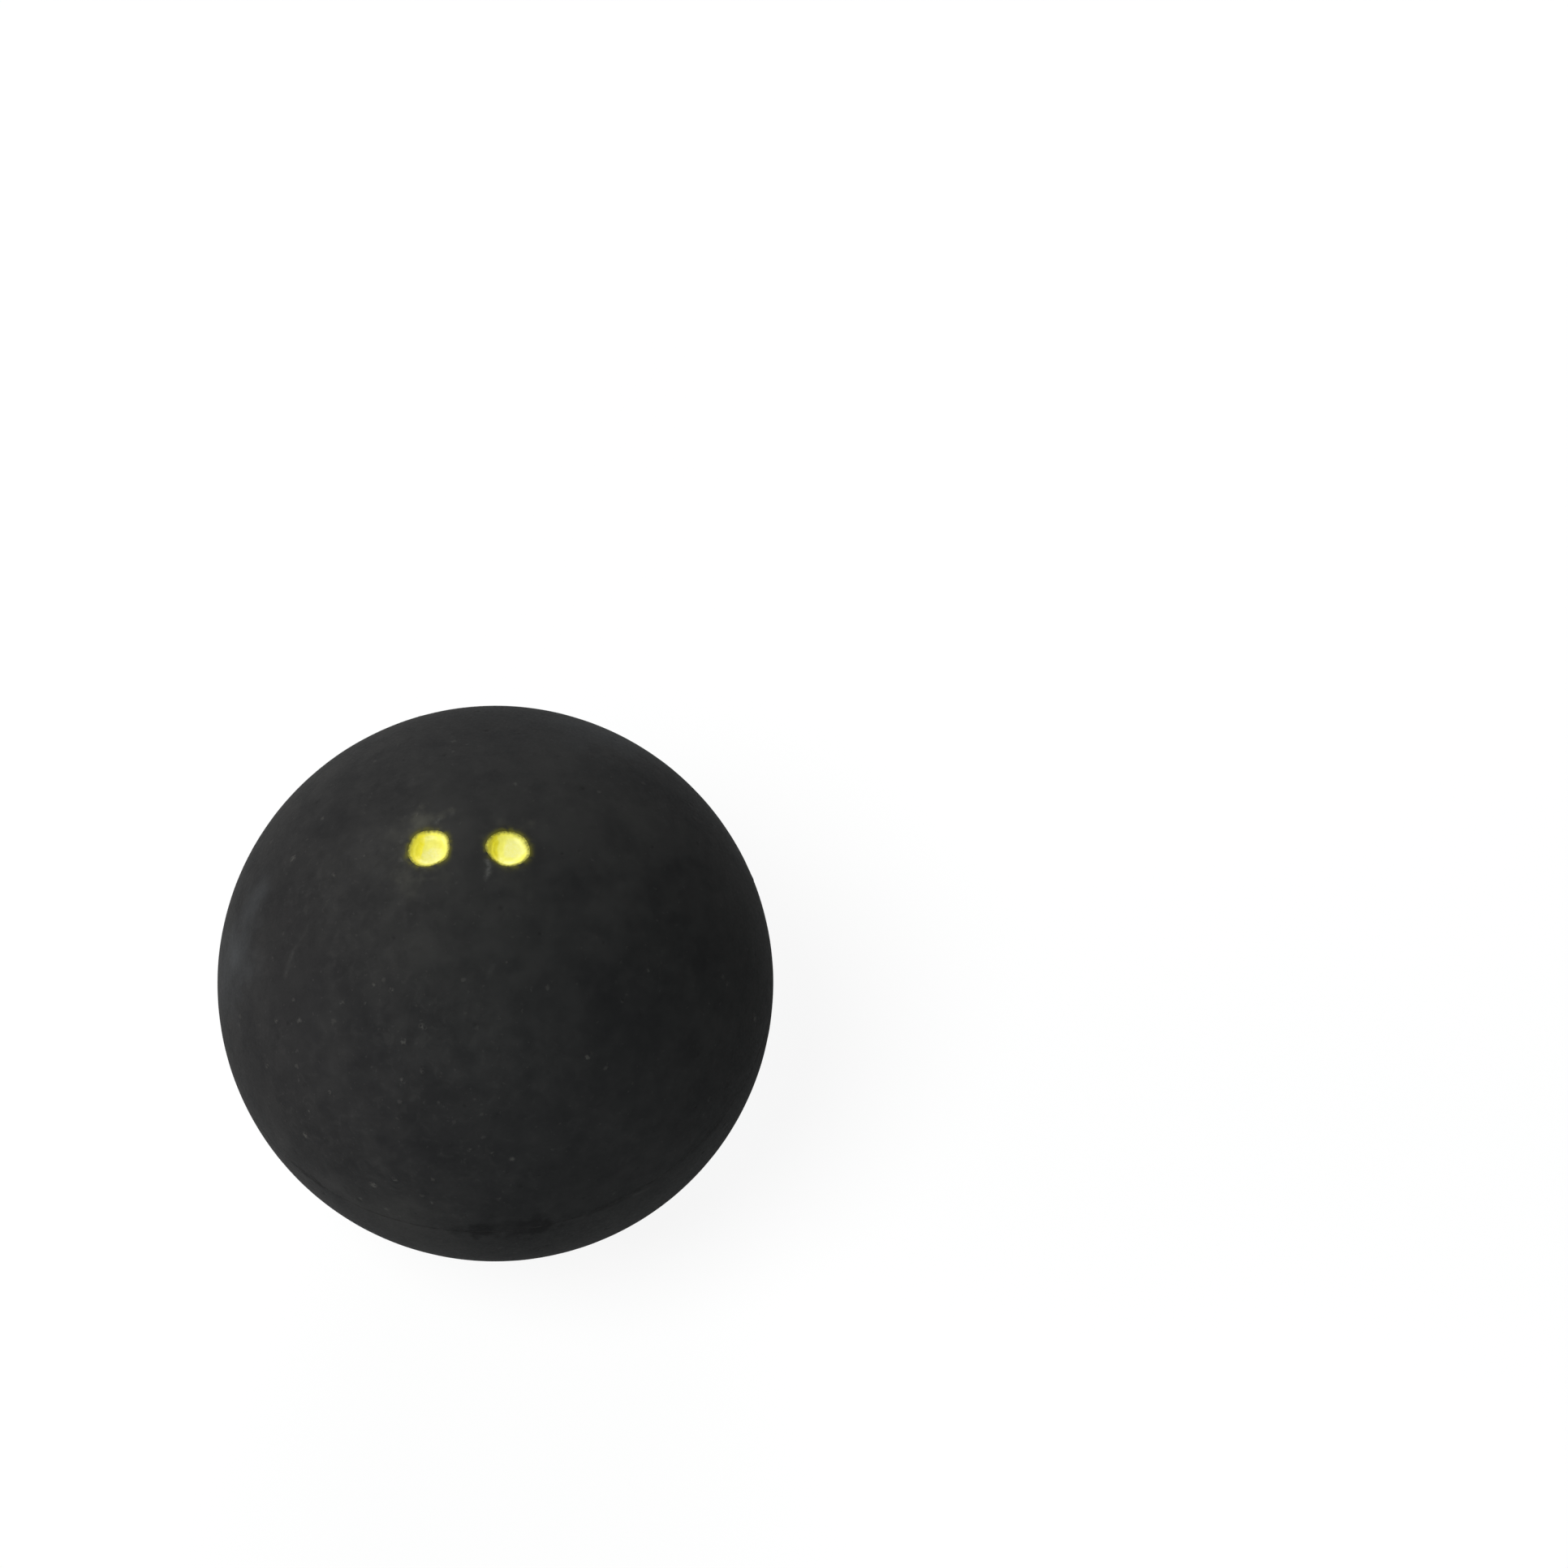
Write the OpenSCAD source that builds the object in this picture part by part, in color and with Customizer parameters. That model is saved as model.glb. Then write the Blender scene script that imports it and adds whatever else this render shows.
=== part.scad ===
// Squash ball with a two-dot marking.
//
// Two moulded rubber half shells are cemented edge to edge round a chamber
// of sealed air. The seam lies in the XY plane, and the ball's centre is the
// origin. The two dots straddle the top of the ball (+Z), one on each side
// along X. Each dot is a shallow well with a sloping wall and a flat floor,
// moulded into the upper half and lined with a film of paint.

/* [Ball] */
// Outside diameter of the finished ball, mm
ball_d = 40; // [39.5:0.1:40.5]
// Thickness of the rubber wall, mm
wall_t = 5.2; // [4.6:0.1:5.8]

/* [Seam] */
// Thickness of the cured cement between the two halves, mm
cement_t = 0.12; // [0.06:0.02:0.3]
// Radius of the cement bead squeezed out inside the ball, mm
bead_r = 0.5; // [0.3:0.05:0.8]

/* [Marking dots] */
// Diameter of each dot's well where it meets the ball's surface, mm
dot_d = 3.0; // [2.6:0.1:3.6]
// Diameter of the well's flat floor, mm
dot_floor_d = 2.1; // [1.4:0.1:2.2]
// Depth of the well below its rim, mm
dot_depth = 0.45; // [0.3:0.05:0.7]
// Straight distance between the centres of the two dots, mm
dot_spacing = 5.6; // [4.8:0.05:8]
// Thickness of the paint film in each well, mm
paint_t = 0.08; // [0.04:0.01:0.12]

/* [Colours] */
// Colour of the rubber
rubber_colour = "#2b2c2d";
// Colour of the cured cement
cement_colour = "#1b1917";
// Colour of the dots
dot_colour = "#efe24a";

/* [Hidden] */

$fn = 128;

ball_r = ball_d / 2;
chamber_r = ball_r - wall_t;

// Each dot leans away from +Z by this angle
dot_lean = asin(dot_spacing / 2 / ball_r);
// Height of a well's rim and floor above the ball's centre, along the dot's own axis
rim_z = sqrt(ball_r * ball_r - dot_d * dot_d / 4);
floor_z = rim_z - dot_depth;
// How far the well's radius grows for each millimetre up its wall
wall_slope = (dot_d - dot_floor_d) / 2 / dot_depth;
// Radius of the painted floor, inside the film on the wall
paint_floor_r = dot_floor_d / 2 + wall_slope * paint_t - paint_t * sqrt(1 + wall_slope * wall_slope);
// Cutters reach this far past the ball's surface
past = 0.3;

// The upper or lower part of a profile drawn in the XZ half plane,
// beyond the given height
module above(z) {
    translate([0, z]) square([ball_r + 1, ball_r + 1]);
}

module below(z) {
    translate([0, z - ball_r - 1]) square([ball_r + 1, ball_r + 1]);
}

// One moulded half: a thick hemispherical shell with a flat rim at the seam
module half_shell(upper) {
    rotate([0, 0, 90]) rotate_extrude() intersection() {
        difference() {
            circle(r = ball_r);
            circle(r = chamber_r);
        }
        if (upper) above(cement_t / 2);
        else below(-cement_t / 2);
    }
}

// A straight-sided cone up from a given height, along a dot's axis
module dot_cone(z, r, reach) {
    translate([0, 0, z])
        cylinder(h = reach, r1 = r, r2 = r + wall_slope * reach);
}

// The whole space of a dot's well, and a little beyond the surface
module dot_well() {
    dot_cone(floor_z, dot_floor_d / 2, ball_r - floor_z + past);
}

// side is -1 for the dot towards -X and 1 for the dot towards +X
module at_dot(side) {
    rotate([0, side * dot_lean, 0]) children();
}

module marked_half_shell() {
    color(rubber_colour) difference() {
        half_shell(true);
        at_dot(-1) dot_well();
        at_dot(1) dot_well();
    }
}

module plain_half_shell() {
    color(rubber_colour) half_shell(false);
}

// The bond: a flat ring between the two rims, with the bead that was pressed
// out of it into the air chamber
module seam_cement() {
    color(cement_colour) rotate([0, 0, 90]) rotate_extrude() union() {
        intersection() {
            difference() {
                circle(r = ball_r);
                circle(r = chamber_r);
            }
            translate([0, -cement_t / 2]) square([ball_r + 1, cement_t]);
        }
        intersection() {
            circle(r = chamber_r);
            translate([chamber_r, 0]) circle(r = bead_r);
        }
    }
}

// A dot's paint: a film on the floor and wall of the well, flush at the rim
module dot_paint(side) {
    color(dot_colour) at_dot(side) intersection() {
        sphere(r = ball_r);
        difference() {
            dot_well();
            dot_cone(floor_z + paint_t, paint_floor_r, ball_r - floor_z + past);
        }
    }
}

marked_half_shell();
plain_half_shell();
seam_cement();
dot_paint(-1);  // dot_paint_left
dot_paint(1);  // dot_paint_right
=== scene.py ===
"""Looks of the squash ball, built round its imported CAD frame.

All shapes are worked out in millimetres in the CAD frame and written to the
meshes in metres. The ball's centre is the origin, the seam lies in the XY
plane, and the two dots straddle +Z, one towards -X and one towards +X.
"""

import math

import bpy
import numpy as np
from mathutils import Matrix, Vector
from mathutils.geometry import delaunay_2d_cdt


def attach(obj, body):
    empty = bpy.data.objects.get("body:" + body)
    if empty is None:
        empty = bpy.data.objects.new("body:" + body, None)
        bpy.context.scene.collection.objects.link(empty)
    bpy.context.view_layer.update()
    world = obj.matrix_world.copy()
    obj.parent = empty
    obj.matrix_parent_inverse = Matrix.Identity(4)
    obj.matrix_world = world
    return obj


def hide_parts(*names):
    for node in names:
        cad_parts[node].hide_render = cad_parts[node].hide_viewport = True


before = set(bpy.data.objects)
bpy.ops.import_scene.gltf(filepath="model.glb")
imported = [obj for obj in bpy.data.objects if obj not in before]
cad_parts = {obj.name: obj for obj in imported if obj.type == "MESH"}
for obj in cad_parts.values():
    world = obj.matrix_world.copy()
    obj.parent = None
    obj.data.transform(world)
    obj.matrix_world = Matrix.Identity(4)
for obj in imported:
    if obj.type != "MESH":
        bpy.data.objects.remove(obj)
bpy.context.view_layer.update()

MM = 0.001

# ---------------------------------------------------------------- sizes, mm
BALL_R = 20.0          # outer radius
CHAMBER_R = 14.8       # inner radius of the rubber wall
CEMENT_T = 0.12        # thickness of the cement between the halves
BEAD_R = 0.5           # bead pressed out inside the ball
DOT_R = 1.5            # a well's radius at the ball's surface
DOT_FLOOR_R = 1.05     # radius of the well's flat floor
DOT_DEPTH = 0.45       # depth of the floor below the rim
DOT_SPACING = 5.6      # distance between the centres of the two dots
DOT_LEAN = math.asin(DOT_SPACING / 2 / BALL_R)
RIM_Z = math.sqrt(BALL_R ** 2 - DOT_R ** 2)
FLOOR_Z = RIM_Z - DOT_DEPTH
STEP = 0.19            # usual distance between mesh points on the outside


# ------------------------------------------------------------------ camera
# A long lens: the frame is 1932 pixels wide and the focal length 9000 of them.
def make_camera():
    data = bpy.data.cameras.new("camera")
    data.sensor_fit = "HORIZONTAL"
    data.sensor_width = 36.0
    data.lens = 36.0 * 9000.0 / 1932.0
    data.clip_start, data.clip_end = 0.05, 50.0
    cam = bpy.data.objects.new("camera", data)
    bpy.context.collection.objects.link(cam)
    right = Vector((0.99748, 0.03358, -0.06248)).normalized()
    back = Vector((0.07090, -0.49962, 0.86334)).normalized()
    up = back.cross(right).normalized()
    right = up.cross(back)
    turn = Matrix((right, up, back)).transposed().to_4x4()
    cam.matrix_world = Matrix.Translation(Vector((58.055, -249.778, 460.193)) * MM) @ turn
    bpy.context.scene.camera = cam
    return cam


# ------------------------------------------------------------------- noise
class Noise:
    """Smooth gradient noise of about -0.7 to 0.7 at points in space."""

    def __init__(self, seed):
        rng = np.random.RandomState(seed)
        perm = rng.permutation(256)
        self.perm = np.concatenate([perm, perm, perm[:2]])
        grad = rng.normal(size=(256, 3))
        self.grad = grad / np.linalg.norm(grad, axis=1, keepdims=True)

    def at(self, points, size):
        """size is the distance between one lattice point and the next, in mm."""
        p = np.asarray(points) / size + 173.3
        cell = np.floor(p).astype(int)
        f = p - cell
        cell &= 255
        fade = f * f * f * (f * (f * 6 - 15) + 10)
        total = np.zeros(len(p))
        for dx in (0, 1):
            for dy in (0, 1):
                for dz in (0, 1):
                    h = self.perm[self.perm[self.perm[(cell[:, 0] + dx) & 255] + ((cell[:, 1] + dy) & 255)] + ((cell[:, 2] + dz) & 255)]
                    d = f - np.array([dx, dy, dz])
                    w = (
                        (fade[:, 0] if dx else 1 - fade[:, 0])
                        * (fade[:, 1] if dy else 1 - fade[:, 1])
                        * (fade[:, 2] if dz else 1 - fade[:, 2])
                    )
                    total += w * np.einsum("ij,ij->i", self.grad[h], d)
        return total * 1.6

    def layers(self, points, size, count=3, fall=0.5):
        total, weight = np.zeros(len(points)), 1.0
        for i in range(count):
            total += weight * self.at(points + 31.7 * i, size * 0.5 ** i)
            weight *= fall
        return total


SHAPE = Noise(11)
SKIN = Noise(23)
EDGE = Noise(37)
FILM = Noise(53)
WEAR = Noise(71)


def smooth(t):
    t = np.clip(t, 0, 1)
    return t * t * (3 - 2 * t)


def soft_min(a, b, k):
    h = np.maximum(k - np.abs(a - b), 0) / k
    return np.minimum(a, b) - h * h * k / 4


def soft_max(a, b, k):
    return -soft_min(-a, -b, k)


def unit(v):
    return v / np.linalg.norm(v, axis=-1, keepdims=True)


# --------------------------------------------------------------- dot frames
class Dot:
    """One dot: its axis, two directions across it, and the edge of its paint."""

    def __init__(self, side, seed, edge_r, lobes, pooled_shaded_side, shade_from, highlight_centre, name):
        a = side * DOT_LEAN
        # the side that the paint ran to is also the side of the well given painted shade
        self.pooled_shaded_side = pooled_shaded_side  # the side that the paint ran to, in degrees
        self.shade_from = shade_from  # how far off the middle it starts to look deeper
        # the palest place is a painted highlight on the well's lit part
        self.highlight_centre = highlight_centre  # the middle of its palest place
        self.axis = np.array([math.sin(a), 0, math.cos(a)])
        self.e1 = np.array([math.cos(a), 0, -math.sin(a)])
        self.e2 = np.array([0.0, 1.0, 0.0])
        self.seed, self.edge_r, self.lobes, self.name = seed, edge_r, lobes, name

    def to_ball(self, x, y, z):
        return x[:, None] * self.e1 + y[:, None] * self.e2 + z[:, None] * self.axis

    def local(self, points):
        return points @ self.e1, points @ self.e2, points @ self.axis

    def ring_noise(self, phi, size, k):
        """Noise round the dot, the same at phi and phi + a full turn."""
        p = np.stack([np.cos(phi), np.sin(phi), np.full_like(phi, self.seed * 3.1 + k)], 1)
        return EDGE.at(p, size)

    def paint_edge(self, phi):
        """How far from the dot's axis the paint reaches, mm."""
        r = np.full_like(phi, self.edge_r)
        for angle, width, amount in self.lobes:
            off = (phi - math.radians(angle) + math.pi) % (2 * math.pi) - math.pi
            r += amount * np.exp(-((off / math.radians(width)) ** 2))
        return r + 0.035 * self.ring_noise(phi, 0.45, 0) + 0.016 * self.ring_noise(phi, 0.16, 5)


# A lobe is (angle round the dot, its width, how far it pushes the edge out).
DOTS = [
    Dot(-1, 1, 1.49, [(30, 20, 0.085), (-75, 24, -0.09), (-32, 16, 0.15), (128, 16, 0.05), (155, 16, -0.035), (90, 12, -0.05), (208, 18, 0.03)], 172, 0.44, (0.34, -0.36), "left"),
    Dot(1, 2, 1.45, [(165, 26, 0.10), (186, 18, 0.08), (-22, 26, 0.11), (232, 20, -0.10), (75, 22, -0.07), (-90, 18, -0.05)], 183, 0.62, (0.42, 0.14), "right"),
]


# ------------------------------------------------------- wear on the rubber
# Places on the ball are (degrees round from +X, degrees up from the seam).
def place_on_ball(around, above):
    a, b = math.radians(around), math.radians(above)
    return np.array([math.cos(b) * math.cos(a), math.cos(b) * math.sin(a), math.sin(b)])


# Crumbs of pale dust big enough to see one by one: place, width in mm, strength.
CRUMBS = [
    (172, 49, 0.25, 0.9), (-175, 61, 0.21, 0.5), (-160, 41, 0.20, 0.4), (-132, 49, 0.23, 0.42), (-125, 52, 0.20, 0.36),
    (-125, 56, 0.22, 0.46), (-118, 57, 0.21, 0.50), (-147, 34, 0.23, 0.5), (-141, 39, 0.26, 0.5), (-157, 21, 0.20, 0.4),
    (-144, 23, 0.23, 0.6), (-109, 48, 0.28, 0.62), (-104, 52, 0.24, 0.54), (-102, 43, 0.23, 0.50), (-107, 40, 0.25, 0.46),
    (-129, 15, 0.26, 0.8), (-112, 11, 0.28, 0.9), (-107, 15, 0.24, 0.6), (-99, 10, 0.23, 0.45), (-81, 23, 0.24, 0.5),
    (-85, 12, 0.25, 0.35), (-85, 25, 0.19, 0.4), (-90, 26, 0.21, 0.45), (-146, 41, 0.18, 0.4), (-57, 40, 0.20, 0.7),
    (-28, 45, 0.19, 0.5), (-14, 10, 0.26, 0.8), (-15, 25, 0.21, 0.5), (-78, 54, 0.16, 0.45),
]

# Dusty places: place, radius in mm, amount.
DUSTY = [
    (-174, 55, 4.2, 0.60), (-107, 50, 5.5, 0.60), (-86, 31, 3.4, 0.45), (-109, 15, 3.4, 0.50), (-150, 75, 4.0, 0.45),
    (-127, 21, 3.4, 0.45), (-145, 30, 3.4, 0.45), (-96, 5, 3.5, 0.45), (140, 68, 3.6, 0.50), (-130, 62, 3.4, 0.40),
    (-15, 15, 2.4, 0.35), (40, -20, 5.0, 0.45), (100, 25, 4.5, 0.45), (170, -30, 5.5, 0.45), (-60, -50, 5.0, 0.40),
]

# Pale bloom, where the rubber's wax has come to the surface, and on the ball's left flank a painted highlight, a pale
# bluish reflection: place, radius, amount.
BLOOM_AND_HIGHLIGHT = [(-171, 28, 2.0, 0.9), (-178, 34, 1.3, 0.6), (178, 39, 1.1, 0.5), (-176, 17, 3.0, 0.35), (-167, 21, 1.8, 0.40), (60, 35, 3.5, 0.5), (120, -35, 4.0, 0.5), (-20, -30, 3.2, 0.4)]

# Places rubbed paler by handling; the two beside the seam at the front are painted reflection: place, radius, amount.
RUBBED_AND_LIT = [(178, 81, 6.6, 0.90), (29, 59, 5.3, 0.68), (60, 74, 3.6, 0.40), (-23, 46, 2.6, 0.35), (-85, 61, 5.0, 0.42), (-40, 74, 2.5, 0.35), (-118, 68, 3.0, 0.50), (-107, 0, 3.3, 0.85), (-98, -11, 2.6, 0.50), (140, 45, 5.0, 0.25), (30, 10, 6.0, 0.35), (-70, -35, 7.0, 0.4), (110, -15, 6.0, 0.35), (200, -50, 6.0, 0.35)]

# Places kept cleaner, where the rubber is darker; the first, on the left side inside the edge, is painted shade: place,
# radius, amount.
CLEAN_AND_SHADED = [(-160, 48, 4.6, 0.85), (178, 50, 3.2, 0.35), (-136, 24, 4.2, 0.55), (-134, 17, 3.5, 0.35), (-90, 28, 6.2, 0.60), (-58, 44, 4.5, 0.35), (-68, 15, 3.5, 0.30), (-40, 20, 4.5, 0.40), (47, 76, 1.4, 0.30), (-55, 36, 3.5, 0.3), (15, -12, 5.5, 0.4), (150, -38, 6.0, 0.45), (-25, -48, 5.0, 0.35), (95, 45, 4.0, 0.35)]

# Cement smeared along the seam: degrees round, half length, reach and amount.
SMEARS = [
    (-90, 0.9, 1.6, 0.65), (-78, 1.9, 1.2, 0.65), (-83, 4.4, 2.0, 0.50), (-61, 2.2, 0.45, 0.35), (-38, 3.2, 0.5, 0.3), (5, 2.2, 0.7, 0.45),
    (38, 4.0, 0.45, 0.6), (82, 1.8, 0.8, 0.5), (118, 4.5, 0.6, 0.5), (158, 1.4, 0.45, 0.5), (196, 3.0, 0.75, 0.55), (231, 2.0, 0.5, 0.6),
]


# Pale wipes beside the dots: dot, place across and up from its centre, radius, amount.
WIPES = [
    (DOTS[0], -0.60, 2.25, 0.70, 0.95), (DOTS[0], 0.60, 2.60, 0.26, 0.55), (DOTS[0], 1.45, 3.05, 0.24, 0.45),
    (DOTS[0], -1.70, -1.80, 0.75, 0.35), (DOTS[0], -1.15, -2.90, 0.75, 0.30), (DOTS[0], 1.40, -2.30, 0.50, 0.30),
    (DOTS[0], -2.30, 1.20, 0.60, 0.35), (DOTS[1], 1.40, 2.15, 0.28, 0.55), (DOTS[1], -0.70, 2.10, 0.40, 0.35),
    (DOTS[1], 0.60, -2.50, 0.70, 0.15),
]


def near(points, centre, reach):
    """Numbers of the points within reach of a place, and their distances, mm."""
    gap = np.linalg.norm(unit(points) - centre, axis=1) * BALL_R
    pick = np.flatnonzero(gap < reach)
    return pick, gap[pick]


def soft_sum(total, pick, amount):
    """Adds without going past 1."""
    total[pick] = 1 - (1 - total[pick]) * (1 - np.clip(amount, 0, 1))


def spots(points, places):
    total = np.zeros(len(points))
    for around, above, radius, amount in places:
        pick, gap = near(points, place_on_ball(around, above), 2.4 * radius)
        ragged = gap * (1 + 0.45 * WEAR.layers(points[pick], radius * 0.9, 3, 0.6))
        soft_sum(total, pick, amount * np.exp(-((ragged / radius) ** 2)))
    return total


def dust_at(points):
    drift = 0.16 + 0.34 * smooth(0.5 + 0.9 * WEAR.layers(points + 11, 8.0, 3, 0.55))
    return 1 - (1 - drift) * (1 - spots(points, DUSTY))


def stain_at(points):
    total = np.zeros(len(points))
    low = np.flatnonzero(np.abs(points[:, 2]) < 3.5)
    p = points[low]
    turned = np.degrees(np.arctan2(p[:, 1], p[:, 0]))
    ragged = WEAR.layers(p + 40, 1.1, 3, 0.65)
    for around, half, reach, amount in SMEARS:
        along = ((turned - around + 180) % 360 - 180) * math.pi / 180 * BALL_R / half
        across = p[:, 2] * (1 + 0.3 * ragged) / reach
        soft_sum(total, low, amount * smooth(0.15 + 0.7 * (1.1 - along ** 2 - across ** 2) + 0.8 * ragged))
    return total


def haze_at(points):
    """The thin yellowish film that was wiped round the dots with their paint."""
    total = np.zeros(len(points))
    for dot, sides in zip(DOTS, (((125, 45, 0.9), (-95, 40, 0.55), (-160, 30, 0.4)), ((-110, 35, 0.45), (60, 35, 0.35), (150, 25, 0.3)))):
        pick, _ = near(points, dot.axis, 3.6)
        x, y, _ = dot.local(points[pick])
        rho, phi = np.hypot(x, y), np.degrees(np.arctan2(y, x))
        ragged = 0.5 + 0.9 * WEAR.layers(points[pick] + 60, 0.9, 3, 0.6)
        for angle, width, amount in sides:
            off = ((phi - angle + 180) % 360 - 180) / width
            soft_sum(total, pick, amount * np.clip(ragged, 0, 1) * np.exp(-off ** 2) * np.exp(-((rho - 1.75) / 0.55) ** 2))
    for dot, x, y, radius, amount in WIPES:
        middle = unit(dot.to_ball(np.array([x]), np.array([y]), np.array([math.sqrt(BALL_R ** 2 - x * x - y * y)])))[0]
        pick, gap = near(points, middle, 2.4 * radius)
        ragged = gap * (1 + 0.6 * WEAR.layers(points[pick] + 25, 0.7, 3, 0.6))
        soft_sum(total, pick, amount * np.exp(-((ragged / radius) ** 2)))
    return total


def tint_at(points):
    """Paint wiped to a thin stain just outside each dot's own edge."""
    total = np.zeros(len(points))
    for dot in DOTS:
        pick, _ = near(points, dot.axis, 2.6)
        x, y, _ = dot.local(points[pick])
        beyond = np.maximum(np.hypot(x, y) - dot.paint_edge(np.arctan2(y, x)), 0)
        ragged = np.clip(0.82 + 1.0 * WEAR.layers(points[pick] + 15, 0.6, 3, 0.6), 0.15, 1)
        reach = 0.20 * (1 + 0.4 * WEAR.at(points[pick] + 35, 1.1))
        soft_sum(total, pick, ragged * np.exp(-((beyond / reach) ** 1.5)))
    return total


def random_scuffs(count, seed):
    """Short pale strokes all over the ball, none of them near the dots."""
    rng, out = np.random.RandomState(seed), []
    while len(out) < count:
        start = unit(rng.normal(size=3))
        heading = unit(np.cross(start, rng.normal(size=3)))
        side = np.cross(start, heading)
        length, bend = rng.uniform(0.8, 3.2), rng.uniform(-0.25, 0.25)
        middle = unit(start + (heading * length * 0.5 + side * bend) / BALL_R)
        end = unit(start + heading * length / BALL_R)
        width, amount = rng.uniform(0.13, 0.26), rng.uniform(0.12, 0.32)
        if max(np.dot(start, d.axis) for d in DOTS) < math.cos(6.0 / BALL_R):
            out.append((start, middle, end, width, amount))
    return out


def dot_scuff(dot, places, width, amount):
    x, y = np.array(places).T
    a, b, c = unit(dot.to_ball(x, y, np.sqrt(BALL_R ** 2 - x * x - y * y)))
    return a, b, c, width, amount


SCUFFS = [
    dot_scuff(DOTS[1], [(-1.36, -1.15), (-1.26, -1.75), (-1.40, -2.45)], 0.20, 1.0),
    dot_scuff(DOTS[1], [(-1.62, -1.00), (-1.48, -1.08), (-1.30, -1.15)], 0.13, 0.8),
    dot_scuff(DOTS[0], [(0.35, 1.95), (0.50, 2.20), (0.72, 2.38)], 0.14, 0.7),
    dot_scuff(DOTS[0], [(1.35, 2.55), (1.48, 2.72), (1.52, 2.95)], 0.12, 0.6),
] + random_scuffs(16, 8)


def scuff_at(points):
    total = np.zeros(len(points))
    for a, b, c, width, amount in SCUFFS:
        pick, _ = near(points, b, np.linalg.norm(c - a) * BALL_R / 2 + 3 * width + 0.2)
        t = np.linspace(0, 1, 15)[:, None]
        line = unit(a * (1 - t) ** 2 + 2 * (2 * b - (a + c) / 2) * t * (1 - t) + c * t * t) * BALL_R
        gap = np.linalg.norm(points[pick][:, None, :] - line[None], axis=2)
        nearest = gap.argmin(axis=1)
        taper = 0.55 + 0.45 * np.sin(math.pi * (0.15 + 0.8 * nearest / 14))
        ragged = np.clip(0.75 + 0.9 * WEAR.layers(points[pick] + 80, 0.45, 2), 0.1, 1)
        soft_sum(total, pick, amount * ragged * np.exp(-((gap.min(axis=1) / (width * taper)) ** 2)))
    return total


# -------------------------------------------------------- the outer surface
def scatter(count, seed, upper):
    """Points spread at random over half of the unit sphere."""
    rng = np.random.RandomState(seed)
    z = rng.uniform(0.03, 1.0, count)
    a = rng.uniform(0, 2 * math.pi, count)
    s = np.sqrt(1 - z * z)
    return np.stack([s * np.cos(a), s * np.sin(a), z if upper else -z], 1), rng


class Marks:
    """Small pits and nibs in the rubber's skin: where, how wide, how high."""

    def __init__(self, seed, upper):
        at, rng = scatter(150, seed, upper)
        self.at = at
        self.width = rng.uniform(0.09, 0.21, len(at))
        pit = rng.uniform(size=len(at)) < 0.45
        self.height = np.where(pit, -rng.uniform(0.018, 0.045, len(at)), rng.uniform(0.012, 0.03, len(at)))
        # pits get a darker tone, painted shade in the pit; nibs a paler one, for dust
        self.tone = np.where(pit, -rng.uniform(0.3, 1.0, len(at)), rng.uniform(0.0, 1.0, len(at)) ** 3 * 0.6)
        clear = np.ones(len(at), bool)
        for dot in DOTS:
            clear &= at @ dot.axis < math.cos(3.4 / BALL_R)
        if upper:
            for around, above, _, _ in CRUMBS:
                clear &= at @ place_on_ball(around, above) < math.cos(1.0 / BALL_R)
        for name in ("at", "width", "height", "tone"):
            setattr(self, name, getattr(self, name)[clear])
        if upper:
            self.at = np.concatenate([self.at] + [place_on_ball(a, b)[None, :] for a, b, _, _ in CRUMBS])
            self.width = np.append(self.width, [w for _, _, w, _ in CRUMBS])
            self.height = np.append(self.height, [0.012 + 0.04 * w for _, _, w, _ in CRUMBS])
            self.tone = np.append(self.tone, [t for _, _, _, t in CRUMBS])


def mark_sum(dirs, marks, what):
    """Each pit's and nib's own value, spread round its place."""
    total = np.zeros(len(dirs))
    order = np.argsort(dirs[:, 2])
    z = dirs[order, 2]
    for c, w, h in zip(marks.at, marks.width, getattr(marks, what)):
        reach = 3 * w / BALL_R
        lo, hi = np.searchsorted(z, [c[2] - reach, c[2] + reach])
        pick = order[lo:hi]
        d = np.linalg.norm(dirs[pick] - c, axis=1) * BALL_R
        total[pick] += h * np.exp(-((d / w) ** 2))
    return total


def skin_height(dirs, marks):
    """How far the rubber's skin stands off the true sphere, mm."""
    p = dirs * BALL_R
    return (
        0.012 * SHAPE.at(p, 17.0)
        + 0.007 * SHAPE.layers(p, 4.5, 2)
        + 0.0045 * SKIN.layers(p, 1.5, 3, 0.62)
        + mark_sum(dirs, marks, "height")
        - 0.004
    )


def well_z(dot, x, y):
    """Height of the well's floor and wall along the dot's axis, mm."""
    rho, phi = np.hypot(x, y), np.arctan2(y, x)
    edge = 0.018 * dot.ring_noise(phi, 0.7, 11)
    p = np.stack([x, y, np.full_like(x, dot.seed * 7.7)], 1)
    floor = FLOOR_Z + 0.012 * SKIN.at(p, 0.9) + 0.004 * SKIN.at(p, 0.3)
    return floor + soft_max(rho - (DOT_FLOOR_R + edge), np.zeros_like(rho), 0.16)


def seam_dip(height, around):
    """How far the rubber falls away towards the seam, mm. height is the
    distance above or below the seam's middle, and around the point beside it."""
    depth = 0.003 + 0.010 * smooth(0.35 + 0.9 * EDGE.layers(around, 2.6, 3, 0.6))
    reach = 0.070 + 0.030 * EDGE.at(around + 50, 3.7)
    return depth * np.exp(-np.maximum(height - CEMENT_T / 2, 0) / reach)


def outer_radius(dirs, marks, upper):
    """Distance of the ball's surface from its centre in each direction, mm."""
    r = BALL_R + skin_height(dirs, marks)
    low = np.flatnonzero(np.abs(dirs[:, 2]) < 0.1)
    around = unit(dirs[low] * np.array([1, 1, 0])) * BALL_R
    r[low] -= seam_dip(np.abs(dirs[low, 2]) * BALL_R, around)
    if upper:
        for dot in DOTS:
            near = np.flatnonzero(dirs @ dot.axis > math.cos(2.4 / BALL_R))
            r[near] = well_radius(dot, dirs[near], r[near])
    return r


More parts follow.
